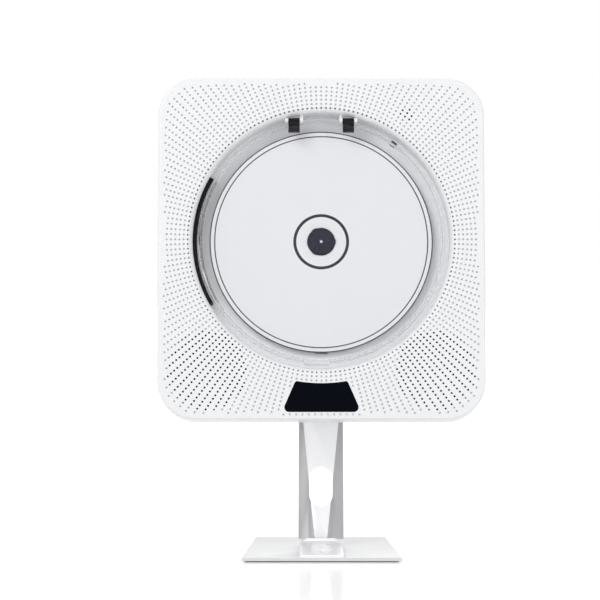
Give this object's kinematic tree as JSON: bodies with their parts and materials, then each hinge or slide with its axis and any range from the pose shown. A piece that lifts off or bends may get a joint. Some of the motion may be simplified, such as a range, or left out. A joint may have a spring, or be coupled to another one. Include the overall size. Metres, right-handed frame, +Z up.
{
  "type": "cd_player",
  "caption": "Upright disc player with a perforated white face, a clear hinged cover over the disc and a leaning silver desk stand",
  "frame": {"origin": "middle of the footprint on the table; base plate centred on x and y, pad underside at z = 0", "axes": "x right, y back, z up; the face looks to -y and leans back by 8 degrees"},
  "size_m": [0.175, 0.106, 0.2554],
  "materials": {
    "white_case": "fine smooth satin",
    "clear_cover": "clear polished",
    "smoked_window": "smoked, polished",
    "black_plastic": "fine matt",
    "dark_plastic": "satin",
    "disc_print": "printed, glossy",
    "bright_steel": "turned",
    "motor_steel": "satin",
    "rubber": "matt",
    "board_green": "lacquered board",
    "paper_cone": "pressed paper",
    "stand_silver": "satin silver",
    "base_white": "satin white",
    "lens": "coated lens in a dark ring"
  },
  "bodies": {
    "player": {"face_grille": "white_case", "front_housing": "white_case", "disc_bay": "white_case", "rear_cover": "white_case", "rear_screws": "bright_steel", "hinge_pins": "bright_steel", "finger_strip": "black_plastic", "cover_sensor": "black_plastic", "display_window": "smoked_window", "display_module": "dark_plastic", "display_board": "board_green", "remote_sensor": "black_plastic", "spindle_motor": "motor_steel", "mechanism_frame": "black_plastic", "rubber_dampers": "rubber", "damper_screws": "bright_steel", "guide_rods": "bright_steel", "sled_motor": "motor_steel", "main_board": "board_green", "board_chips": "black_plastic", "speaker_frame_left": "black_plastic", "speaker_frame_right": "black_plastic", "speaker_cone_left": "paper_cone", "speaker_cone_right": "paper_cone", "speaker_magnet_left": "motor_steel", "speaker_magnet_right": "motor_steel", "key_board": "board_green", "key_switches": "black_plastic", "port_board": "board_green", "power_inlet": "black_plastic", "line_in_jack": "black_plastic", "headphone_jack": "black_plastic", "usb_socket": "bright_steel", "power_switch": "black_plastic", "stand_column": "stand_silver", "stand_screws": "bright_steel", "base_plate": "base_white", "base_screws": "bright_steel", "base_pad": "rubber"},
    "cover": {"dust_cover": "clear_cover", "hinge_arm_left": "black_plastic", "hinge_arm_right": "black_plastic"},
    "turning_parts": {"turntable": "dark_plastic", "disc": "disc_print", "disc_claws": "dark_plastic", "spindle": "bright_steel"},
    "pickup": {"pickup_sled": "black_plastic", "pickup_lens": "lens"},
    "screw": {"lead_screw": "bright_steel"},
    "knob": {"power_knob": "black_plastic"},
    "button_power_cap": {"button_power": "white_case"},
    "button_source_cap": {"button_source": "white_case"},
    "button_back_cap": {"button_back": "white_case"},
    "button_play_cap": {"button_play": "white_case"},
    "button_next_cap": {"button_next": "white_case"},
    "button_volume_down_cap": {"button_volume_down": "white_case"},
    "button_volume_up_cap": {"button_volume_up": "white_case"}
  },
  "joints": [
    {"name": "cover_hinge", "type": "hinge", "parent": "player", "child": "cover", "pos_m": [0, -0.00152, 0.23213], "axis": [-1, 0, 0], "range_deg": [0, 90]},
    {"name": "disc_spin", "type": "hinge", "parent": "player", "child": "turning_parts", "pos_m": [0, -0.003, 0.167], "axis": [0, -0.9903, 0.1392], "continuous": true},
    {"name": "sled_slide", "type": "slide", "parent": "player", "child": "pickup", "axis": [0, -0.1392, -0.9903], "range_m": [0, 0.0344]},
    {"name": "lead_screw_spin", "type": "hinge", "parent": "player", "child": "screw", "pos_m": [0.024, 0.0047, 0.12552], "axis": [0, 0.1392, 0.9903], "range_deg": [0, 4200]},
    {"name": "power_slide", "type": "slide", "parent": "player", "child": "knob", "axis": [0, 0.1392, 0.9903], "range_m": [0, 0.0035]},
    {"name": "press_power", "type": "slide", "parent": "player", "child": "button_power_cap", "axis": [0, -0.1392, -0.9903], "range_m": [0, 0.0005], "stiffness_N_per_m": 400},
    {"name": "press_source", "type": "slide", "parent": "player", "child": "button_source_cap", "axis": [0, -0.1392, -0.9903], "range_m": [0, 0.0005], "stiffness_N_per_m": 400},
    {"name": "press_back", "type": "slide", "parent": "player", "child": "button_back_cap", "axis": [0, -0.1392, -0.9903], "range_m": [0, 0.0005], "stiffness_N_per_m": 400},
    {"name": "press_play", "type": "slide", "parent": "player", "child": "button_play_cap", "axis": [0, -0.1392, -0.9903], "range_m": [0, 0.0005], "stiffness_N_per_m": 400},
    {"name": "press_next", "type": "slide", "parent": "player", "child": "button_next_cap", "axis": [0, -0.1392, -0.9903], "range_m": [0, 0.0005], "stiffness_N_per_m": 400},
    {"name": "press_volume_down", "type": "slide", "parent": "player", "child": "button_volume_down_cap", "axis": [0, -0.1392, -0.9903], "range_m": [0, 0.0005], "stiffness_N_per_m": 400},
    {"name": "press_volume_up", "type": "slide", "parent": "player", "child": "button_volume_up_cap", "axis": [0, -0.1392, -0.9903], "range_m": [0, 0.0005], "stiffness_N_per_m": 400}
  ],
  "couplings": [
    {"joint": "lead_screw_spin", "follows": "sled_slide", "rad_per_m": 2094.4}
  ]
}
